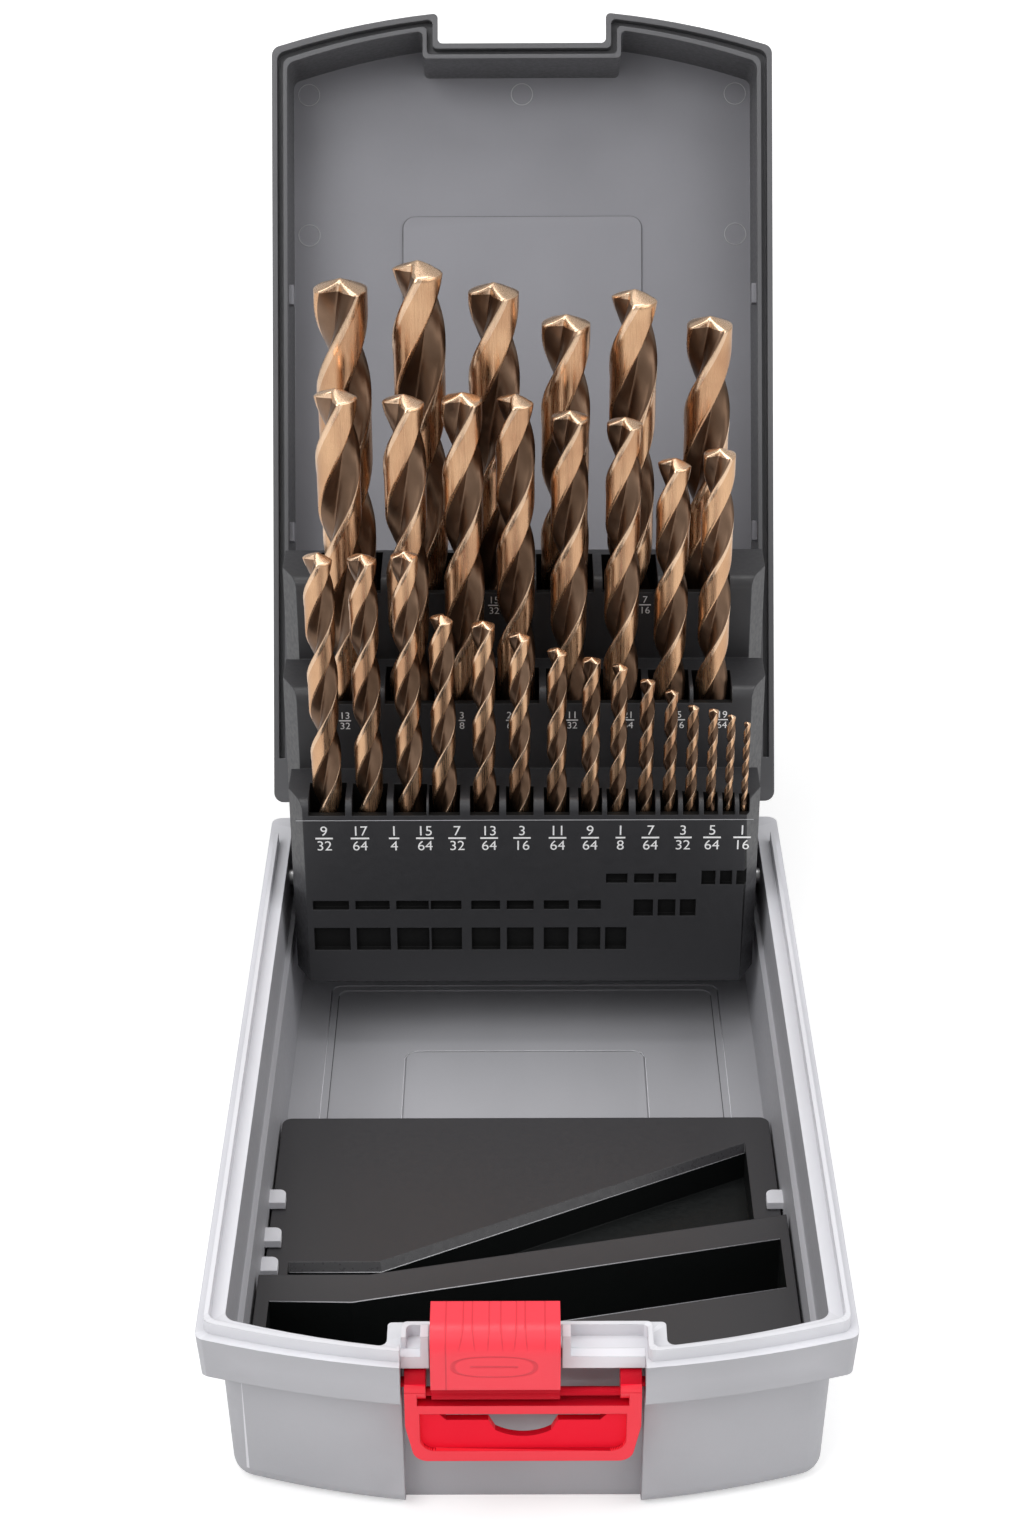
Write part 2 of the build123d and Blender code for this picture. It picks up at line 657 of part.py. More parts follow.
with BuildPart() as latch_lever:
    with BuildSketch(lever_plane) as face:
        with BuildLine():
            Polyline((-half_lever, z_lever), (-half_lever, lever_foot + lever_taper[1]),
                     (lever_taper[0] - half_lever, lever_foot), (half_lever - lever_taper[0], lever_foot),
                     (half_lever, lever_foot + lever_taper[1]), (half_lever, z_lever), close=True)
        make_face()
        fillet(face.vertices().group_by(Axis.Y)[0], lever_corner)
        with Locations((0, (z_lever + crossbar_top) / 2)):
            Rectangle(lever_width - 2 * arm_width, z_lever - crossbar_top, mode=Mode.SUBTRACT)
        with Locations((0, (neck_top + crossbar_top) / 2)):
            Rectangle(lever_width - 2 * (arm_width - arm_neck), neck_top - crossbar_top,
                      mode=Mode.SUBTRACT)
        with BuildLine():
            shoulder = opening_top - shoulder_drop
            rounded = opening_top - round_drop
            Polyline((finger_round / 2, rounded), (finger_notch / 2, shoulder),
                     (finger_shoulder / 2, shoulder),
                     (finger_top / 2, opening_top), (-finger_top / 2, opening_top),
                     (-finger_shoulder / 2, shoulder), (-finger_notch / 2, shoulder),
                     (-finger_round / 2, rounded))
            ThreePointArc((-finger_round / 2, rounded), (0, opening_top - finger_drop),
                          (finger_round / 2, rounded))
        make_face(mode=Mode.SUBTRACT)
    extrude(amount=-lever_plate)
    # Sunk face round the finger opening, and the deep top of the crossbar.
    with BuildSketch(lever_plane) as pocket:
        pocket_foot = lever_foot + pocket_rim
        with Locations((0, (opening_top + pocket_foot) / 2)):
            Rectangle(2 * half_pocket, opening_top - pocket_foot)
        fillet(pocket.vertices().group_by(Axis.Y)[0], lever_corner)
    extrude(amount=-pocket_depth, mode=Mode.SUBTRACT)
    block((latch_x - half_pocket, latch_x + half_pocket), (y_face, y_face + crossbar_depth),
          (opening_top, crossbar_top))
    for side in (-1, 1):
        outer = latch_x + side * half_lever
        low, high = sorted((outer, outer - side * arm_width))
        along_x((low + high) / 2, y_lever, z_lever, barrel_radius, arm_width)
        block((low, high), (y_face, y_lever), (neck_top, z_lever))
        low, high = sorted((outer, outer - side * (arm_width - arm_neck)))
        block((low, high), (y_face, y_face + crossbar_depth), (opening_top, neck_top))
        along_x(outer + side * stub_length / 2, y_lever, z_lever, stub_radius, stub_length)
    along_x(latch_x, y_hook, z_hook, hook_pin_radius + press_clearance, lever_width - arm_neck,
            mode=Mode.SUBTRACT)
latch_lever.part.label = "latch_lever"
export_step(latch_lever.part, "parts/latch_lever.step")

with BuildPart() as latch_pin:
    along_x(latch_x, y_hook, z_hook, hook_pin_radius, lever_width - arm_neck)
latch_pin.part.label = "latch_pin"
export_step(latch_pin.part, "parts/latch_pin.step")

hook_under = lid_rim + catch_height + hook_clearance
hook_over = hook_under + hook_plate
y_plate = y_bow + hook_face
y_tip = y_bow + hook_reach
z_foot = rim_height - hook_foot
with BuildPart() as latch_hook:
    with BuildSketch(Plane((hook_centre - hook_width / 2, 0, 0), x_dir=(0, 1, 0), z_dir=(1, 0, 0))):
        with BuildLine():
            Line((y_plate, z_foot), (y_plate, hook_over - hook_bend))
            RadiusArc((y_plate, hook_over - hook_bend), (y_plate + hook_bend, hook_over), hook_bend)
            Polyline((y_plate + hook_bend, hook_over), (y_tip - hook_plate / 2, hook_over),
                     (y_tip, hook_under + hook_plate / 2), (y_tip, hook_under),
                     (y_plate + hook_plate, hook_under), (y_plate + hook_plate, z_foot + hook_plate),
                     (y_hook + hook_web / 2, z_hook), (y_hook - hook_web / 2, z_hook),
                     (y_hook - hook_web / 2, z_hook + hook_heel), (y_plate, z_foot))
        make_face()
    extrude(amount=hook_width)
    along_x(hook_centre, y_hook, z_hook, hook_eye_radius, hook_width)
    along_x(hook_centre, y_hook, z_hook, hook_pin_radius + running_clearance, hook_width,
            mode=Mode.SUBTRACT)
latch_hook.part.label = "latch_hook"
export_step(latch_hook.part, "parts/latch_hook.step")
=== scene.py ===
import json
from math import cos, pi, radians, sin, tan

import bpy
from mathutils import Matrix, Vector


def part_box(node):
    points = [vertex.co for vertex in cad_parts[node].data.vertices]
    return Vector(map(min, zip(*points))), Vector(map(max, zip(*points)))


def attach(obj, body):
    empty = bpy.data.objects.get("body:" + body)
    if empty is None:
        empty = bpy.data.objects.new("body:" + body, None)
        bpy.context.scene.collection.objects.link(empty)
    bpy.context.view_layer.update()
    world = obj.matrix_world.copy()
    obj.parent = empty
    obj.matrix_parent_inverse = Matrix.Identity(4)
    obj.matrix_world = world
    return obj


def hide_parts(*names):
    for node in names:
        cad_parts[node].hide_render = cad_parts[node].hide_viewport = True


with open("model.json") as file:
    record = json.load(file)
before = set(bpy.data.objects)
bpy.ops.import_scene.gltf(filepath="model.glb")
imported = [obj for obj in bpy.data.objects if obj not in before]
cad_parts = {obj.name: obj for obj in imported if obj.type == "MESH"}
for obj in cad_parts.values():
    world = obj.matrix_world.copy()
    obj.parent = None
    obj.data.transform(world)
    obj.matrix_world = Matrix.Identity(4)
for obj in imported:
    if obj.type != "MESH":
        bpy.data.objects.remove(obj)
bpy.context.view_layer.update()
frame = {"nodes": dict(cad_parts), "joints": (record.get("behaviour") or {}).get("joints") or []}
nodes = frame["nodes"]

MM = 0.001


def box_mm(node):
    """Lowest and highest corners of a node, in millimetres."""
    return [tuple(c / MM for c in corner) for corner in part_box(node)]


# ---- Places read from the frame, in millimetres ----

RACK_LOW, RACK_HIGH = box_mm("rack")
CASE_SIDE = box_mm("base_tray")[1][0]
LEVER_FACE = box_mm("latch_lever")[0][1]
FRONT_TRAY_TOP = box_mm("front_tray")[1][2]
REAR_TRAY_TOP = box_mm("rear_tray")[1][2]
GUIDE_HEIGHT = 5.0  # top of the latch guides over the rim
RIM = box_mm("latch_guide_left")[1][2] - GUIDE_HEIGHT
TREAD_RISE = 21.3  # from one tier of the rack to the next
FIRST_TREAD = RACK_HIGH[2] - 2 * TREAD_RISE
TIER_DEPTH = 16.0
RACK_FRONT = RACK_LOW[1]
joints = {joint["name"]: joint for joint in frame["joints"]}
HINGE = [c / MM for c in joints["lid_hinge"]["pos_m"]]
LID_OPEN = radians(120)
LID_GAP = 0.2  # between the rims, when shut
LID_RIM = LID_GAP + RIM - HINGE[2]  # rim of the lid over the hinge, when shut
LID_DEPTH = 21.5
LID_PANEL = 2.2  # thickness of its panel
CLIP_SIDE = CASE_SIDE - 4.0  # the clips inside the lid stand in from here
CLIP_REACH = (72.7, 133.7)  # middles of those clips in front of the hinge
TRAY_SIDE = box_mm("rear_tray")[1][0]


def on_lid(x, reach, height):
    """A point of the lid given as if it lay shut: how far in front of the hinge, and over its rim."""
    y, z = -reach, LID_RIM + height
    turn = -LID_OPEN
    return x, HINGE[1] + y * cos(turn) - z * sin(turn), HINGE[2] + y * sin(turn) + z * cos(turn)


# ---- Materials ----

EDGE_RADIUS = 0.35  # sharp edges are shown rounded by this much
NOISE_LOW, NOISE_HIGH = 0.3, 0.7  # most of a noise lies between these
FLOW_SCALE, SPOT_SCALE, GRAIN_SCALE = 34.0, 900.0, 1700.0  # patterns of plastic, in cycles per metre
DRIFT_SCALE, GRIND_SCALE = 60.0, 5200.0  # patterns of metal
GRAIN_DEPTH, GRIND_DEPTH = 0.00004, 0.00003  # in metres
GRIND_STRENGTH = 0.25


def new_material(name, colour, roughness, specular=0.5, coat=0.0):
    """A material whose shader takes plain constants; colour and bump detail are linked in later."""
    mat = bpy.data.materials.new(name)
    mat.use_nodes = True
    shader = mat.node_tree.nodes["Principled BSDF"]
    shader.inputs["Base Color"].default_value = (*colour, 1)
    shader.inputs["Roughness"].default_value = roughness
    shader.inputs["Specular IOR Level"].default_value = specular
    shader.inputs["Coat Weight"].default_value = coat
    shader.inputs["Coat Roughness"].default_value = 0.18
    return mat, mat.node_tree, shader


def add(tree, kind, **values):
    """A shader node with its sockets or properties set."""
    node = tree.nodes.new(kind)
    for key, value in values.items():
        if key in node.inputs:
            node.inputs[key].default_value = value
        else:
            setattr(node, key, value)
    return node


def noise(tree, coords, scale, detail=3.0, stretch=(1, 1, 1)):
    """Noise over object coordinates, in cycles per metre."""
    place = add(tree, "ShaderNodeMapping")
    place.inputs["Scale"].default_value = stretch
    tree.links.new(coords, place.inputs["Vector"])
    node = add(tree, "ShaderNodeTexNoise", Scale=scale, Detail=detail)
    tree.links.new(place.outputs["Vector"], node.inputs["Vector"])
    return node.outputs["Fac"]


def ramp(tree, value, low, high, out_low, out_high):
    """A value carried from one range to another."""
    node = add(tree, "ShaderNodeMapRange")
    for key, number in (("From Min", low), ("From Max", high), ("To Min", out_low), ("To Max", out_high)):
        node.inputs[key].default_value = number
    tree.links.new(value, node.inputs["Value"])
    return node.outputs["Result"]


def mix(tree, factor, first, second):
    """A colour between two, by factor; each is a colour or a socket."""
    node = add(tree, "ShaderNodeMix", data_type="RGBA")
    tree.links.new(factor, node.inputs[0])
    for socket, value in ((node.inputs[6], first), (node.inputs[7], second)):
        if isinstance(value, (tuple, list)):
            socket.default_value = (*value, 1)
        else:
            tree.links.new(value, socket)
    return node.outputs[2]


def shade(colour, factor):
    """A colour made lighter or darker, up to white."""
    return tuple(min(1.0, c * factor) for c in colour)


def rounded(tree):
    """The normal of a surface whose sharp edges are a little rounded."""
    return add(tree, "ShaderNodeBevel", samples=6, Radius=EDGE_RADIUS * MM).outputs["Normal"]


def vary_roughness(tree, shader, pattern, low, high):
    """Roughness that follows a noise."""
    tree.links.new(ramp(tree, pattern, NOISE_LOW, NOISE_HIGH, low, high), shader.inputs["Roughness"])


def vary_normal(tree, shader, height, strength, distance, normal=None, invert=False):
    """Bumps on a surface, on top of the normal that it has."""
    bump = add(tree, "ShaderNodeBump", Strength=strength, Distance=distance, invert=invert)
    tree.links.new(height, bump.inputs["Height"])
    if normal:
        tree.links.new(normal, bump.inputs["Normal"])
    tree.links.new(bump.outputs["Normal"], shader.inputs["Normal"])


def plastic(name, colour, roughness, grain=0.35, mottle=0.05, specular=0.45, coat=0.0, edge_wear_and_highlight=1.25):
    """Moulded plastic: fine spark-eroded grain, faint flow marks, and paler edges, partly wear and partly
    painted highlight.
    """
    mat, tree, shader = new_material(name, colour, roughness, specular, coat)
    coords = add(tree, "ShaderNodeTexCoord").outputs["Object"]
    flow = noise(tree, coords, FLOW_SCALE, 2.0, (1, 0.45, 1))
    base = mix(tree, ramp(tree, flow, NOISE_LOW, NOISE_HIGH, 0, 1), shade(colour, 1 - mottle),
               shade(colour, 1 + mottle))
    # paler edges: partly wear, partly a painted highlight where rounded edges catch the light
    edge = add(tree, "ShaderNodeNewGeometry").outputs["Pointiness"]
    edge_paling = ramp(tree, edge, 0.53, 0.62, 0.0, 0.55)
    tree.links.new(mix(tree, edge_paling, base, shade(colour, edge_wear_and_highlight)), shader.inputs["Base Color"])
    vary_roughness(tree, shader, noise(tree, coords, SPOT_SCALE, 2.0), roughness - 0.06, roughness + 0.08)
    vary_normal(tree, shader, noise(tree, coords, GRAIN_SCALE), grain, GRAIN_DEPTH, rounded(tree))
    return mat


def metal(name, colour, roughness, grind=(1, 1, 0.04), shift=0.12, tint=None):
    """Ground steel: fine lines along one axis, heat tint that drifts between two colours."""
    mat, tree, shader = new_material(name, colour, roughness)
    shader.inputs["Metallic"].default_value = 1.0
    coords = add(tree, "ShaderNodeTexCoord").outputs["Object"]
    drift = ramp(tree, noise(tree, coords, DRIFT_SCALE), 0.35, 0.65, 0, 1)
    heated = mix(tree, drift, shade(colour, 1 - shift), tint or shade(colour, 1 + shift))
    tree.links.new(heated, shader.inputs["Base Color"])
    lines = noise(tree, coords, GRIND_SCALE, 2.0, grind)
    vary_roughness(tree, shader, lines, roughness - 0.08, roughness + 0.12)
    vary_normal(tree, shader, lines, GRIND_STRENGTH, GRIND_DEPTH)
    return mat


LATCH_LOOK = {"grain": 0.08, "mottle": 0.02, "edge_wear_and_highlight": 1.05}

case_grey = plastic("case_grey", (0.43, 0.43, 0.455), 0.5)
rim_white = plastic("rim_white", (0.70, 0.70, 0.735), 0.42)
lid_grey = plastic("lid_grey", (0.235, 0.234, 0.256), 0.5)
lid_dark = plastic("lid_dark", (0.100, 0.100, 0.106), 0.42)
rack_dark = plastic("rack_dark", (0.036, 0.036, 0.039), 0.40)
# near-black: painted shade inside the sockets and windows of the rack
socket_painted_shade = plastic("socket_painted_shade", (0.006, 0.006, 0.006), 0.6, specular=0.2)
tray_black = plastic("tray_black", (0.046, 0.045, 0.048), 0.34, grain=0.1, mottle=0.03)
tray_bevel = plastic("tray_bevel", (0.030, 0.029, 0.032), 0.3, grain=0.1, mottle=0.03)
tray_shade = plastic("tray_shade", (0.007, 0.008, 0.008), 0.45, grain=0.1, specular=0.3)
latch_red = plastic("latch_red", (0.93, 0.022, 0.045), 0.42, coat=0.1, **LATCH_LOOK)
hook_red = plastic("hook_red", (0.93, 0.045, 0.07), 0.42, coat=0.1, **LATCH_LOOK)
# deeper reds of the latch: painted shade behind the lever's plate, under the hook's plate and on the pin
red_painted_shade = plastic("red_painted_shade", (0.90, 0.008, 0.03), 0.5, specular=0.12, **LATCH_LOOK)
red_painted_deep_shade = plastic("red_painted_deep_shade", (0.55, 0.003, 0.016), 0.5, specular=0.12, **LATCH_LOOK)
label_white = plastic("label_white", (0.95, 0.95, 0.95), 0.55, grain=0.1)
pale_mark_and_highlight = plastic("pale_mark_and_highlight", (0.46, 0.46, 0.48), 0.4, grain=0.1)
bit_land = metal("bit_land", (0.62, 0.35, 0.20), 0.27, tint=(0.74, 0.46, 0.27))
bit_flute = metal("bit_flute", (0.16, 0.095, 0.06), 0.36, tint=(0.26, 0.165, 0.11))
bit_edge = metal("bit_edge", (0.80, 0.56, 0.38), 0.26)
pin_steel = metal("pin_steel", (0.6, 0.6, 0.6), 0.35)

# Fine lines moulded in the face of the hook: x in mm, lean per mm of height, lowest point over the rim.
CREASES = (
    (-15.3, 0.0, -9.0), (-11.9, 0.25, 6.3), (-10.4, -0.16, 6.3), (-7.1, 0.08, 6.3), (-5.0, -0.12, 6.3),
    (-1.9, 0.15, 6.3), (-0.4, -0.12, 6.3), (3.4, 0.0, 6.3),
)
CREASE_LINE = (0.06, 0.2)  # a crease is darkest up to the first, and gone at the second
CREASE_START = 1.5  # it grows in over this height
CREASE_PIVOT = 4.0  # a leaning crease is at its place at this height over its lowest point
OVAL = (-6.2, 2.7, 7.8, 2.5)  # middle and half size of the ring on the hook, x and height over the rim
OVAL_POWER = 2.6  # how square it is
OVAL_LINE = (0.08, 0.2)
BAR_ENDS, BAR_SIDES = (0.55, 0.6), (0.04, 0.12)  # of the bar in the ring, as shares of its half size
# painted shade in the creases and the ring, and how strongly it darkens them
CREASE_SHADE_COLOUR, CREASE_SHADE_AMOUNT = (0.42, 0.006, 0.02), 0.4
CREASE_BUMP, CREASE_DEPTH = 0.6, 0.00015


def maths(tree, operation, first, second=None):
    """One step of arithmetic on sockets or numbers."""
    node = add(tree, "ShaderNodeMath", operation=operation)
    for socket, value in zip(node.inputs, (first, second)):
        if isinstance(value, (int, float)):
            socket.default_value = value
        elif value is not None:
            tree.links.new(value, socket)
    return node.outputs[0]


def apart(tree, value, place):
    """How far a socket's value lies from a place."""
    return maths(tree, "ABSOLUTE", maths(tree, "SUBTRACT", value, place))


def moulded_lines(mat):
    """Darkens the creases and the ring in the face of the hook with painted shade, and sinks them a little.
    """
    tree = mat.node_tree
    shader = tree.nodes["Principled BSDF"]
    split = add(tree, "ShaderNodeSeparateXYZ")
    tree.links.new(add(tree, "ShaderNodeTexCoord").outputs["Object"], split.inputs[0])
    x = maths(tree, "DIVIDE", split.outputs["X"], MM)
    height = maths(tree, "SUBTRACT", maths(tree, "DIVIDE", split.outputs["Z"], MM), RIM)
    mask = 0.0
    for place, lean, low in CREASES:
        across = maths(tree, "SUBTRACT", x, place)
        sway = maths(tree, "MULTIPLY", maths(tree, "SUBTRACT", height, low + CREASE_PIVOT), lean)
        line = ramp(tree, apart(tree, across, sway), *CREASE_LINE, 1, 0)
        line = maths(tree, "MULTIPLY", line, ramp(tree, height, low, low + CREASE_START, 0, 1))
        mask = maths(tree, "MAXIMUM", mask, line)
    x_middle, z_middle, x_half, z_half = OVAL
    wide = maths(tree, "DIVIDE", apart(tree, x, x_middle), x_half)
    tall = maths(tree, "DIVIDE", apart(tree, height, z_middle), z_half)
    reach = maths(tree, "ADD", maths(tree, "POWER", wide, OVAL_POWER), maths(tree, "POWER", tall, OVAL_POWER))
    ring = ramp(tree, apart(tree, reach, 1.0), *OVAL_LINE, 1, 0)
    bar = maths(tree, "MULTIPLY", ramp(tree, wide, *BAR_ENDS, 1, 0), ramp(tree, tall, *BAR_SIDES, 1, 0))
    mask = maths(tree, "MAXIMUM", mask, maths(tree, "MAXIMUM", ring, bar))
    colour = shader.inputs["Base Color"].links[0].from_socket
    dark = maths(tree, "MULTIPLY", mask, CREASE_SHADE_AMOUNT)
    tree.links.new(mix(tree, dark, colour, CREASE_SHADE_COLOUR), shader.inputs["Base Color"])
    normal = shader.inputs["Normal"].links[0].from_socket
    vary_normal(tree, shader, mask, CREASE_BUMP, CREASE_DEPTH, normal, invert=True)


moulded_lines(hook_red)


def dress(obj, mats, rule=None):
    """Puts materials on a piece; rule picks one for each face from its centre in mm and its normal."""
    obj.data.materials.clear()
    for mat in mats:
        obj.data.materials.append(mat)
    if rule:
        for polygon in obj.data.polygons:
            polygon.material_index = rule(polygon.center / MM, polygon.normal)


SKIN = 0.2  # a face this near a plane lies in it
TRAY_CLIP_MIDDLE, TRAY_CLIP_HALF, TRAY_CLIP_WIDTH = 1.2, 1.1, 4.0  # clips over the rear tray, from its top
LID_CLIP_HALF, LID_CLIP_WIDTH, LID_CLIP_FOOT = 2.6, 1.6, 2.5  # clips in the lid, and how high they begin
SOCKET_WALLS = (0.2, 0.4)  # in front of and behind the sockets
SOCKET_LIP, RACK_FOOT, RACK_CHEEK = 3.0, 1.0, 5.0  # plain above, below and beside the sockets
TRAY_EDGE = 3.0  # depth of the bevels of the trays
LEVER_PLATE = 0.5
HOOK_PLATE_FOOT = 3.2  # bottom of its plate below the rim


def base_rule(centre, normal):
    """The lip and the top of the rim are whiter; the clips over the tray are whiter too, a painted highlight.
    """
    # the clips over the rear tray get the white as a painted highlight
    level = abs(centre.z - REAR_TRAY_TOP - TRAY_CLIP_MIDDLE) < TRAY_CLIP_HALF
    on_clip = level and TRAY_SIDE - TRAY_CLIP_WIDTH < abs(centre.x) < TRAY_SIDE
    return 1 if centre.z > RIM - SKIN or on_clip else 0


def lid_rule(centre, normal):
    """The inside of the panel is paler than the walls and the rim, and the clips get the paler grey too, a
    painted highlight.
    """
    turn = LID_OPEN
    y, z = centre.y - HINGE[1], centre.z - HINGE[2]
    height = y * sin(turn) + z * cos(turn) - LID_RIM
    facing = normal.y * sin(turn) + normal.z * cos(turn)
    reach = z * sin(turn) - y * cos(turn)
    near = min(abs(reach - place) for place in CLIP_REACH) < LID_CLIP_HALF
    beside = CLIP_SIDE - LID_CLIP_WIDTH < abs(centre.x) < CLIP_SIDE
    # the clips are painted paler as a highlight
    if near and beside and LID_CLIP_FOOT < height < LID_DEPTH / 2:
        return 0
    return 0 if facing < -0.7 and height > LID_DEPTH / 2 else 1


def rack_rule(centre, normal):
    """The sockets and windows are painted near-black inside, painted shade for the depth of the holes."""
    depth = centre.y - RACK_FRONT
    tier = min(2, int(depth / TIER_DEPTH))
    tread = FIRST_TREAD + tier * TREAD_RISE
    front, back = SOCKET_WALLS
    inside = front < depth - tier * TIER_DEPTH < TIER_DEPTH - back and centre.z < tread - SOCKET_LIP
    between = RACK_LOW[2] + RACK_FOOT < centre.z and abs(centre.x) < RACK_HIGH[0] - RACK_CHEEK
    return 1 if inside and between else 0


def tray_rule(centre, normal):
    """The tops of the trays catch the light, their bevels less, and the rest is in shade."""
    if normal.z > 0.9 and centre.z > REAR_TRAY_TOP - 1:
        return 0
    return 2 if normal.z > 0.5 and centre.z > REAR_TRAY_TOP - TRAY_EDGE else 1


def lever_rule(centre, normal):
    """Faces of the lever behind its plate get a deeper red as painted shade, and those that look up are
    darker still, deeper painted shade.
    """
    if centre.y < LEVER_FACE + LEVER_PLATE or abs(normal.x) > 0.8:
        return 0
    return 2 if normal.z > 0.5 or normal.y > 0.5 else 1


def hook_rule(centre, normal):
    """The eye and the web of the hook, under its plate, are a deeper red, painted shade under the plate."""
    return 1 if centre.z < RIM - HOOK_PLATE_FOOT else 0


dress(nodes["base_tray"], (case_grey, rim_white), base_rule)
dress(nodes["lid"], (lid_grey, lid_dark), lid_rule)
dress(nodes["rack"], (rack_dark, socket_painted_shade), rack_rule)
for name in ("front_tray", "rear_tray"):
    dress(nodes[name], (tray_black, tray_shade, tray_bevel), tray_rule)
dress(nodes["latch_lever"], (latch_red, red_painted_shade, red_painted_deep_shade), lever_rule)
dress(nodes["latch_hook"], (hook_red, red_painted_deep_shade), hook_rule)
# the pin, in the gap beside the hook, is painted in the dark red of the shade
dress(nodes["latch_pin"], (red_painted_deep_shade,))
for name in ("latch_guide_left", "latch_guide_right"):
    dress(nodes[name], (rim_white,))
for name in ("hinge_pin_left", "hinge_pin_right", "rack_pivot_left", "rack_pivot_right"):
    dress(nodes[name], (pin_steel,))


# ---- Mesh helpers ----

def mesh_piece(name, verts, faces, mats, body, smooth=True, picks=None):
    """A piece from points in millimetres, with its materials, on a body of the frame."""
    data = bpy.data.meshes.new(name)
    data.from_pydata([tuple(c * MM for c in v) for v in verts], [], faces)
    data.validate()
    for mat in mats:
        data.materials.append(mat)
    for i, polygon in enumerate(data.polygons):
        polygon.use_smooth = smooth
        if picks:
            polygon.material_index = picks[i]
    piece = bpy.data.objects.new(name, data)
    bpy.context.scene.collection.objects.link(piece)
    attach(piece, body)
    return piece


def bead(name, path, radius, mats, body, closed=False, sides=8):
    """A thin round bead along a path of points."""
    points = [Vector(p) for p in path]
    count = len(points)
    verts, faces = [], []
    for i, point in enumerate(points):
        before = points[i - 1] if i or closed else point
        after = points[(i + 1) % count] if i < count - 1 or closed else point
        along = (after - before).normalized()
        across = along.orthogonal().normalized()
        if i and across.dot(last_across) < 0.99:
            across = (last_across - along * last_across.dot(along)).normalized()
        last_across = across
        up = along.cross(across)
        for k in range(sides):
            angle = 2 * pi * k / sides
            verts.append(tuple(point + radius * (cos(angle) * across + sin(angle) * up)))
    for i in range(count if closed else count - 1):
        for k in range(sides):
            a, b = i * sides + k, i * sides + (k + 1) % sides
            c, d = ((i + 1) % count) * sides + (k + 1) % sides, ((i + 1) % count) * sides + k
            faces.append((a, b, c, d))
    if not closed:
        faces += [tuple(reversed(range(sides))), tuple(range((count - 1) * sides, count * sides))]
    return mesh_piece(name, verts, faces, mats, body)


# ---- Size labels on the rack ----

LABEL_SKIN = 0.06  # how far a printed label stands off the plastic
FRONT_LABELS = (
    ("9", "32", -47.5), ("17", "64", -39.0), ("1", "4", -30.9), ("15", "64", -23.6), ("7", "32", -16.0),
    ("13", "64", -8.4), ("3", "16", -0.6), ("11", "64", 7.8), ("9", "64", 15.5), ("1", "8", 22.7),
    ("7", "64", 29.8), ("3", "32", 37.5), ("5", "64", 44.4), ("1", "16", 51.5),
)
MIDDLE_LABELS = (
    ("13", "32", -42.6), ("25", "64", -27.0), ("3", "8", -14.8), ("23", "64", -2.9), ("11", "32", 11.4),
    ("21", "64", 24.7), ("5", "16", 36.8), ("19", "64", 47.0),
)
BACK_LABELS = (("15", "32", -7.1), ("7", "16", 28.9))
# Over the rim, and how tall the whole fraction is
LABEL_ROWS = (
    ("front", FRONT_LABELS, 20.0, 6.7),
    ("middle", MIDDLE_LABELS, 43.0, 4.6),
    ("back", BACK_LABELS, 65.5, 4.6),
)
DIGIT_SHARE, BAR_SHARE, BAR_REACH = 0.39, 0.035, 0.05  # of a label's height


def text_mesh(text):
    """Points and faces of flat text."""
    curve = bpy.data.curves.new("text", "FONT")
    curve.body = text
    curve.align_x = "CENTER"
    holder = bpy.data.objects.new("text", curve)
    bpy.context.scene.collection.objects.link(holder)
    data = bpy.data.meshes.new_from_object(holder)
    points = [(v.co.x, v.co.y) for v in data.vertices]
    faces = [tuple(p.vertices) for p in data.polygons]
    bpy.data.objects.remove(holder)
    bpy.data.meshes.remove(data)
    return points, faces


def label(name, top, bottom, x, y, z, height):
    """A fraction as it is printed: one number over a bar over the other."""
    verts, faces = [], []
    digit, bar = DIGIT_SHARE * height, BAR_SHARE * height
    widest = 0
    for text, level in ((top, z + height / 2 - digit), (bottom, z - height / 2)):
        points, rings = text_mesh(text)
        low = min(v for _, v in points)
        scale = digit / (max(v for _, v in points) - low)
        first = len(verts)
        verts += [(x + u * scale, y, level + (v - low) * scale) for u, v in points]
        faces += [tuple(first + i for i in ring) for ring in rings]
        widest = max(widest, max(abs(u) for u, _ in points) * scale)
    first = len(verts)
    half = widest + BAR_REACH * height
    verts += [(x - half, y, z - bar), (x + half, y, z - bar), (x + half, y, z + bar), (x - half, y, z + bar)]
    faces.append((first, first + 1, first + 2, first + 3))
    return mesh_piece(name, verts, faces, (label_white,), "rack", smooth=False)


for tier, (row, labels, rise, height) in enumerate(LABEL_ROWS):
    face = RACK_FRONT + tier * TIER_DEPTH - LABEL_SKIN
    for i, (top, bottom, x) in enumerate(labels):
        label(f"label_{row}_{i}", top, bottom, x, face, RIM + rise, height)


# ---- Marks inside the lid: rings of the ejector pins, and painted shade along the edge of the raised pad ----

PANEL_HEIGHT = LID_DEPTH - LID_PANEL
RINGS = ((-56.0, 189), (0, 189), (56.0, 189), (-56.0, 152.1), (56.0, 152.1))
RING_RADIUS, RING_LINE, RING_POINTS = 2.8, 0.11, 40
PAD_HALF, PAD_LOW, PAD_HIGH, PAD_RADIUS = 31.3, 44.7, 156.7, 3.0
PAD_LINE, PAD_SUNK, CORNER_STEPS = 0.22, 0.1, 8


def turned(x, y, radius, first, last, steps):
    """Points of an arc, angles in degrees."""
    angles = [radians(first + (last - first) * k / steps) for k in range(steps + 1)]
    return [(x + radius * cos(a), y + radius * sin(a)) for a in angles]


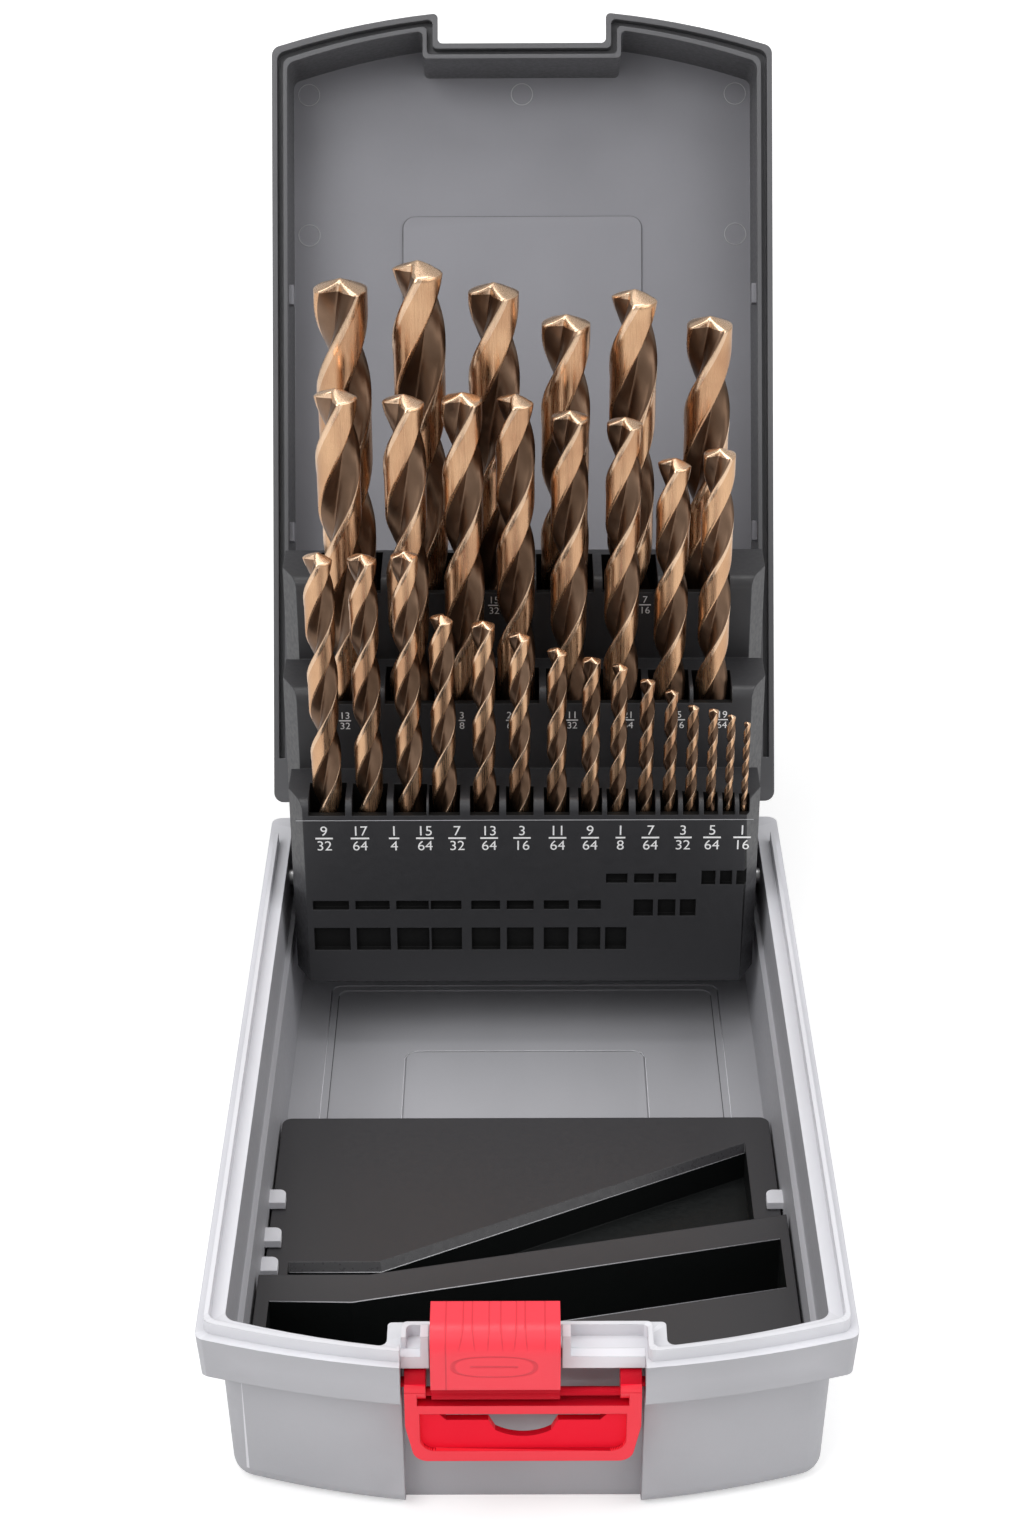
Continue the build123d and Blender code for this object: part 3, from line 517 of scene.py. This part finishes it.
for i, (x, reach) in enumerate(RINGS):
    ring = [on_lid(u, v, PANEL_HEIGHT) for u, v in turned(x, reach, RING_RADIUS, 0, 360, RING_POINTS)[:-1]]
    bead(f"lid_ring_{i}", ring, RING_LINE, (pale_mark_and_highlight,), "lid", closed=True, sides=6)

x_in, low_in, high_in = PAD_HALF - PAD_RADIUS, PAD_LOW + PAD_RADIUS, PAD_HIGH - PAD_RADIUS
edge = []
for k, (x, y) in enumerate(((x_in, high_in), (-x_in, high_in), (-x_in, low_in), (x_in, low_in))):
    edge += turned(x, y, PAD_RADIUS, 90 * k, 90 * (k + 1), CORNER_STEPS)
# a dark line of painted shade along the step at the pad's edge
bead("lid_pad_edge", [on_lid(u, v, PANEL_HEIGHT - PAD_SUNK) for u, v in edge], PAD_LINE, (lid_dark,), "lid",
     closed=True, sides=6)

# ---- Painted highlights along the edges of the trays, and painted highlight and shade along the steps in the floor panel ----

Y_FRONT = -96.5  # front corners of the case
BEVEL = 1.6  # the far edge of the rear tray's space lies this far under its top
FLOOR, FIRST_STEP, SECOND_STEP = 2.35, 2.05, 1.75  # a hair under the floor and the two steps of its panel
PANEL_FRONT = 11.0  # the panel shows behind the rear tray from here
TREAD_LINE, TREAD_LINE_HALF = 24.9, 54.0  # its height over the rim, and its reach to each side
# Name, slot, height, material, radius, and the path in plan
LINES = (
    # pale lines along the tray edges are painted highlights
    ("slot_far", "tray_plastic", FRONT_TRAY_TOP, pale_mark_and_highlight, 0.12,
     ((-53.4, Y_FRONT + 35.2), (-36.2, Y_FRONT + 34.8), (54.2, Y_FRONT + 54.6))),
    ("slot_near", "tray_plastic", FRONT_TRAY_TOP, pale_mark_and_highlight, 0.10,
     ((-53.4, Y_FRONT + 21.3), (-28.0, Y_FRONT + 21.3), (54.2, Y_FRONT + 39.0))),
    ("wedge_far", "tray_plastic", REAR_TRAY_TOP - BEVEL, pale_mark_and_highlight, 0.12,
     ((-51.2, Y_FRONT + 55.2), (-31.3, Y_FRONT + 55.2), (50.1, Y_FRONT + 96.0))),
    # white lines on the floor panel's steps are painted highlights, the dark ones painted shade
    ("panel_left", "case_plastic", FLOOR, rim_white, 0.13, ((-49.1, PANEL_FRONT), (-49.1, 76.5))),
    ("panel_right", "case_plastic", FLOOR, rim_white, 0.13, ((49.1, PANEL_FRONT), (49.1, 76.5))),
    ("step_left", "case_plastic", FIRST_STEP, lid_dark, 0.10, ((-47.3, PANEL_FRONT), (-47.3, 74.7))),
    ("step_right", "case_plastic", FIRST_STEP, lid_dark, 0.10, ((47.3, PANEL_FRONT), (47.3, 74.7))),
    ("outline", "case_plastic", SECOND_STEP, rim_white, 0.12,
     ((-29.6, PANEL_FRONT), (-29.6, 48.4), (-28.7, 50.5), (-26.6, 51.4), (26.6, 51.4), (28.7, 50.5),
      (29.6, 48.4), (29.6, PANEL_FRONT))),
)
for name, slot, z, mat, radius, path in LINES:
    bead(f"line_{name}", [(x, y, z) for x, y in path], radius, (mat,), "base", sides=6)
# a pale line along the edge of the front tread, a painted highlight
tread = [(x, RACK_FRONT, RIM + TREAD_LINE) for x in (-TREAD_LINE_HALF, TREAD_LINE_HALF)]
bead("line_tread", tread, 0.1, (pale_mark_and_highlight,), "rack", sides=6)

# ---- Drill bits: twisted two-flute meshes in place of the plain bars ----

LAND, FLUTE, EDGE = range(3)  # places of the materials on a bit
TURN = 64  # points round a section
MARGIN = 0.97  # radius of the land, as a share of the margin's
MARGIN_ARC, LAND_ARC = 0.07, 0.46  # where the margin and the land end, as shares of each half turn
WEB = 0.26  # half the thickness left between the flutes, as a share of the radius
SCOOP_LEAN, SCOOP_ROUND = 0.85, 0.7  # shape of a flute across
HELIX, HALF_POINT = radians(29), radians(67.5)
RUNOUT, RUNOUT_CURVE = 3.0, 0.6  # the flutes run out over this many radii
SHANK = 12.0  # the least that a bit keeps plain
FOOT_BEVEL, FOOT_SHARE = 0.4, 0.93  # bevel at the foot, as shares of the radius
INSIDE = 0.999  # the mesh stays this much inside the bar that it replaces
START_GAP = 0.01  # last section of the shank before the flutes
LEAD_STEPS, LEAST_STEP = 44, 0.35  # sections in one turn of the flutes, and the least step
POINT_RINGS, POINT_SPLIT = 6, 6.5
PHASE = -62.0  # the flute at the tip lies to the left of the front
PHASE_SPREAD, PHASE_BEAT = 22.0, 2.4  # the bits are turned a little differently
# Size in 64ths of an inch, and length of the flutes
FLUTE_LENGTHS = ((4, 22), (8, 41), (12, 59), (16, 70), (18, 75), (20, 81), (24, 92), (26, 98), (32, 114))


def flute_length(size):
    """Length of the flutes of a bit, between those of the nearest sizes in the list."""
    for (s0, l0), (s1, l1) in zip(FLUTE_LENGTHS, FLUTE_LENGTHS[1:]):
        if s0 <= size <= s1:
            return l0 + (l1 - l0) * (size - s0) / (s1 - s0)
    return FLUTE_LENGTHS[-1][1]


def section(i, depth):
    """Radius share at point i of a section, and which material lies there."""
    half = (i % (TURN // 2)) / (TURN // 2)
    if half < MARGIN_ARC:
        return 1.0, EDGE
    if half < LAND_ARC:
        return MARGIN, LAND
    t = (half - LAND_ARC) / (1 - LAND_ARC)
    scoop = sin(pi * t ** SCOOP_LEAN) ** SCOOP_ROUND
    return 1 - (1 - WEB) * scoop * depth, FLUTE


def drill_levels(foot, start, shoulder, tip, radius, lead):
    """Heights of the sections of a bit: shank, flutes from start to shoulder, and point."""
    levels = [foot, foot + FOOT_BEVEL * radius, start - START_GAP]
    z = start
    while z < shoulder:
        levels.append(z)
        z += max(lead / LEAD_STEPS, LEAST_STEP)
    levels.append(shoulder)
    return levels + [shoulder + (tip - shoulder) * k / POINT_SPLIT for k in range(1, POINT_RINGS + 1)]


def drill(name, size):
    """A bit in place of its plain bar: a shank, two flutes that run out into it, and a point."""
    low, high = box_mm(name)
    radius = (high[0] - low[0]) / 2
    x, y = (low[0] + high[0]) / 2, (low[1] + high[1]) / 2
    foot, tip = low[2], high[2]
    cone = radius / tan(HALF_POINT)
    start = tip - min(flute_length(size), tip - foot - SHANK)
    lead = 2 * radius * pi / tan(HELIX)
    phase = radians(PHASE + PHASE_SPREAD * sin(size * PHASE_BEAT))
    levels = drill_levels(foot, start, tip - cone, tip, radius, lead)
    verts, faces, picks = [], [], []
    for z in levels:
        depth = min(1.0, (z - start) / (RUNOUT * radius)) ** RUNOUT_CURVE if z > start else 0.0
        outer = radius * INSIDE * (FOOT_SHARE if z == foot else 1.0)
        cap = (tip - z) / cone * radius if z > tip - cone else outer
        for i in range(TURN):
            share = section(i, depth)[0] if depth else 1.0
            r = min(outer * share, cap)
            angle = phase + 2 * pi * (z - tip) / lead + 2 * pi * i / TURN
            verts.append((x + r * cos(angle), y + r * sin(angle), z))
    last = len(levels) - 1
    for row in range(last):
        for i in range(TURN):
            a, b = row * TURN + i, row * TURN + (i + 1) % TURN
            faces.append((a, b, b + TURN, a + TURN))
            if levels[row + 1] <= start:
                picks.append(LAND)
            else:
                picks.append(EDGE if row >= last - POINT_RINGS else section(i, 1.0)[1])
    faces.append(tuple(reversed(range(TURN))))
    picks.append(LAND)
    verts.append((x, y, tip))
    for i in range(TURN):
        faces.append((last * TURN + i, last * TURN + (i + 1) % TURN, len(verts) - 1))
        picks.append(EDGE)
    piece = mesh_piece(name + "_twist", verts, faces, (bit_land, bit_flute, bit_edge), name,
                       picks=picks)
    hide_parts(name)


for name in nodes:
    if name.startswith("bit_"):
        drill(name, int(name.split("_")[1]))

# ---- Camera, light and floor ----

IMAGE = (1024, 1536)
FOCAL_PIXELS = 2679.5
SENSOR = 36.0

camera = bpy.data.objects.new("camera", bpy.data.cameras.new("camera"))
camera.data.sensor_width = SENSOR
camera.data.lens = FOCAL_PIXELS / IMAGE[1] * SENSOR
camera.location = (-0.89 * MM, -486.84 * MM, 394.56 * MM)
camera.rotation_euler = (radians(59.906), radians(0.248), radians(0.069))
bpy.context.scene.collection.objects.link(camera)
bpy.context.scene.camera = camera


def lamp(name, place, target, size, power):
    """A soft square lamp in metres and watts, turned to its target."""
    light = bpy.data.lights.new(name, "AREA")
    light.shape = "RECTANGLE"
    light.size, light.size_y = size
    light.energy = power
    obj = bpy.data.objects.new(name, light)
    obj.location = place
    obj.rotation_euler = (Vector(target) - Vector(place)).to_track_quat("-Z", "Y").to_euler()
    bpy.context.scene.collection.objects.link(obj)


lamp("key", (-0.55, -0.55, 0.95), (0, 0.02, 0.08), (0.7, 0.7), 5.4)
lamp("fill", (0.75, -0.35, 0.7), (0, 0.02, 0.08), (0.8, 0.8), 3.0)
lamp("top", (0.0, 0.15, 1.1), (0, 0.05, 0.05), (0.8, 0.5), 3.6)

WORLD_LIGHT, WORLD_SEEN = 0.5, 1.0  # how bright the room is as light, and to the camera
FLOOR_HALF = 3.0
GLOW_REACH, GLOW = (0.3, 1.0), (0.36, 0.62)  # the floor whitens with distance, to the camera alone

world = bpy.data.worlds.new("studio")
world.use_nodes = True
bpy.context.scene.world = world
world.node_tree.nodes["Background"].inputs["Color"].default_value = (1, 1, 1, 1)
tree = world.node_tree
seen = add(tree, "ShaderNodeLightPath").outputs["Is Camera Ray"]
strength = ramp(tree, seen, 0, 1, WORLD_LIGHT, WORLD_SEEN)
tree.links.new(strength, tree.nodes["Background"].inputs["Strength"])

floor_mesh = bpy.data.meshes.new("floor")
corners = [(x * FLOOR_HALF, y * FLOOR_HALF, 0) for x, y in ((-1, -1), (1, -1), (1, 1), (-1, 1))]
floor_mesh.from_pydata(corners, [], [(0, 1, 2, 3)])
floor = bpy.data.objects.new("floor", floor_mesh)
bpy.context.scene.collection.objects.link(floor)
floor_mat, tree, shader = new_material("floor_white", (0.9, 0.9, 0.9), 0.7, 0.2)
floor_mesh.materials.append(floor_mat)
shader.inputs["Emission Color"].default_value = (1, 1, 1, 1)
seen = add(tree, "ShaderNodeLightPath").outputs["Is Camera Ray"]
distance = add(tree, "ShaderNodeVectorMath", operation="LENGTH")
tree.links.new(add(tree, "ShaderNodeTexCoord").outputs["Object"], distance.inputs[0])
glow = ramp(tree, distance.outputs["Value"], *GLOW_REACH, *GLOW)
tree.links.new(maths(tree, "MULTIPLY", seen, glow), shader.inputs["Emission Strength"])

bpy.context.scene.view_settings.view_transform = "Standard"
